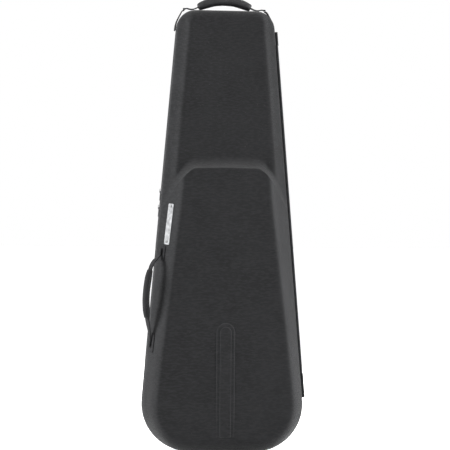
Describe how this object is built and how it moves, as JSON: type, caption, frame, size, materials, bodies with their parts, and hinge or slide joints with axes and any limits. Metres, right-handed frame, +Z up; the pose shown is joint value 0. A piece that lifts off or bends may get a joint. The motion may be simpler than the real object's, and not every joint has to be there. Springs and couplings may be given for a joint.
{
  "type": "electric guitar case",
  "caption": "Moulded upright clamshell case for an electric guitar, with a hinged lid, two-way zip, side handle and top handle.",
  "frame": {"origin": "middle of the bottom end, in the zip plane", "axes": "+Z up along the case from butt end to headstock end, -Y out of the front, +X towards the hinge side"},
  "size_m": [0.4037, 0.1234, 1.1065],
  "materials": {
    "shell_fabric": "fine woven charcoal cover over moulded foam",
    "lining_plush": "short plush",
    "piping": "smooth bound cord",
    "zip_tape": "woven tape",
    "zip_coil": "nylon coil",
    "zip_metal": "dark plated",
    "webbing": "nylon webbing",
    "grip_leather": "smooth wrapped and stitched",
    "plate_metal": "brushed, bare",
    "rivet_metal": "dark domed",
    "foam": "covered foam"
  },
  "bodies": {
    "base": {"rear_shell": "shell_fabric", "rear_lining": "lining_plush", "rear_piping": "piping", "rear_zip_tape": "zip_tape", "rear_zip_coil": "zip_coil", "hinge_spine": "shell_fabric", "zip_end_tab_lower": "webbing", "zip_end_tab_upper": "webbing", "top_handle_anchor_left": "webbing", "top_handle_anchor_right": "webbing", "neck_cradle": "foam", "headstock_pad": "foam", "butt_pad": "foam", "bout_pad_left": "foam", "bout_pad_right": "foam"},
    "lid": {"front_shell": "shell_fabric", "front_lining": "lining_plush", "front_piping": "piping", "front_zip_tape": "zip_tape", "front_zip_coil": "zip_coil", "hinge_leaf": "shell_fabric", "label_plate": "plate_metal", "label_rivet_lower": "rivet_metal", "label_rivet_upper": "rivet_metal", "side_handle_anchor_upper": "webbing", "side_handle_anchor_lower": "webbing"},
    "side_handle": {"side_webbing": "webbing", "side_grip": "grip_leather"},
    "top_handle": {"top_webbing": "webbing", "top_grip": "grip_leather"},
    "slider_upper": {"slider_upper": "zip_metal"},
    "slider_lower": {"slider_lower": "zip_metal"},
    "pull_upper": {"pull_upper": "zip_metal"},
    "pull_lower": {"pull_lower": "zip_metal"}
  },
  "joints": [
    {"name": "lid_hinge", "type": "hinge", "parent": "base", "child": "lid", "pos_m": [0.19384, 0, 0.187], "axis": [-0.0841, 0, 0.9965], "range_deg": [0, 180]},
    {"name": "side_handle_swing", "type": "hinge", "parent": "lid", "child": "side_handle", "pos_m": [-0.17942, -0.02685, 0.268], "axis": [0.1095, -0.0127, 0.9939], "range_deg": [-60, 60]},
    {"name": "top_handle_swing", "type": "hinge", "parent": "base", "child": "top_handle", "pos_m": [0, 0.026, 1.0728], "axis": [1, 0, 0], "range_deg": [-38, 38]},
    {"name": "upper_slider_slide", "type": "slide", "parent": "base", "child": "slider_upper", "axis": [0.0841, 0, 0.9965], "range_m": [0, 0.35]},
    {"name": "lower_slider_slide", "type": "slide", "parent": "base", "child": "slider_lower", "axis": [0.0841, 0, 0.9965], "range_m": [-0.43, 0]},
    {"name": "upper_pull_flip", "type": "hinge", "parent": "slider_upper", "child": "pull_upper", "pos_m": [-0.15512, 0, 0.62818], "axis": [0, 1, 0], "range_deg": [0, 165]},
    {"name": "lower_pull_flip", "type": "hinge", "parent": "slider_lower", "child": "pull_lower", "pos_m": [-0.15841, 0, 0.58918], "axis": [0, 1, 0], "range_deg": [0, 165]}
  ]
}
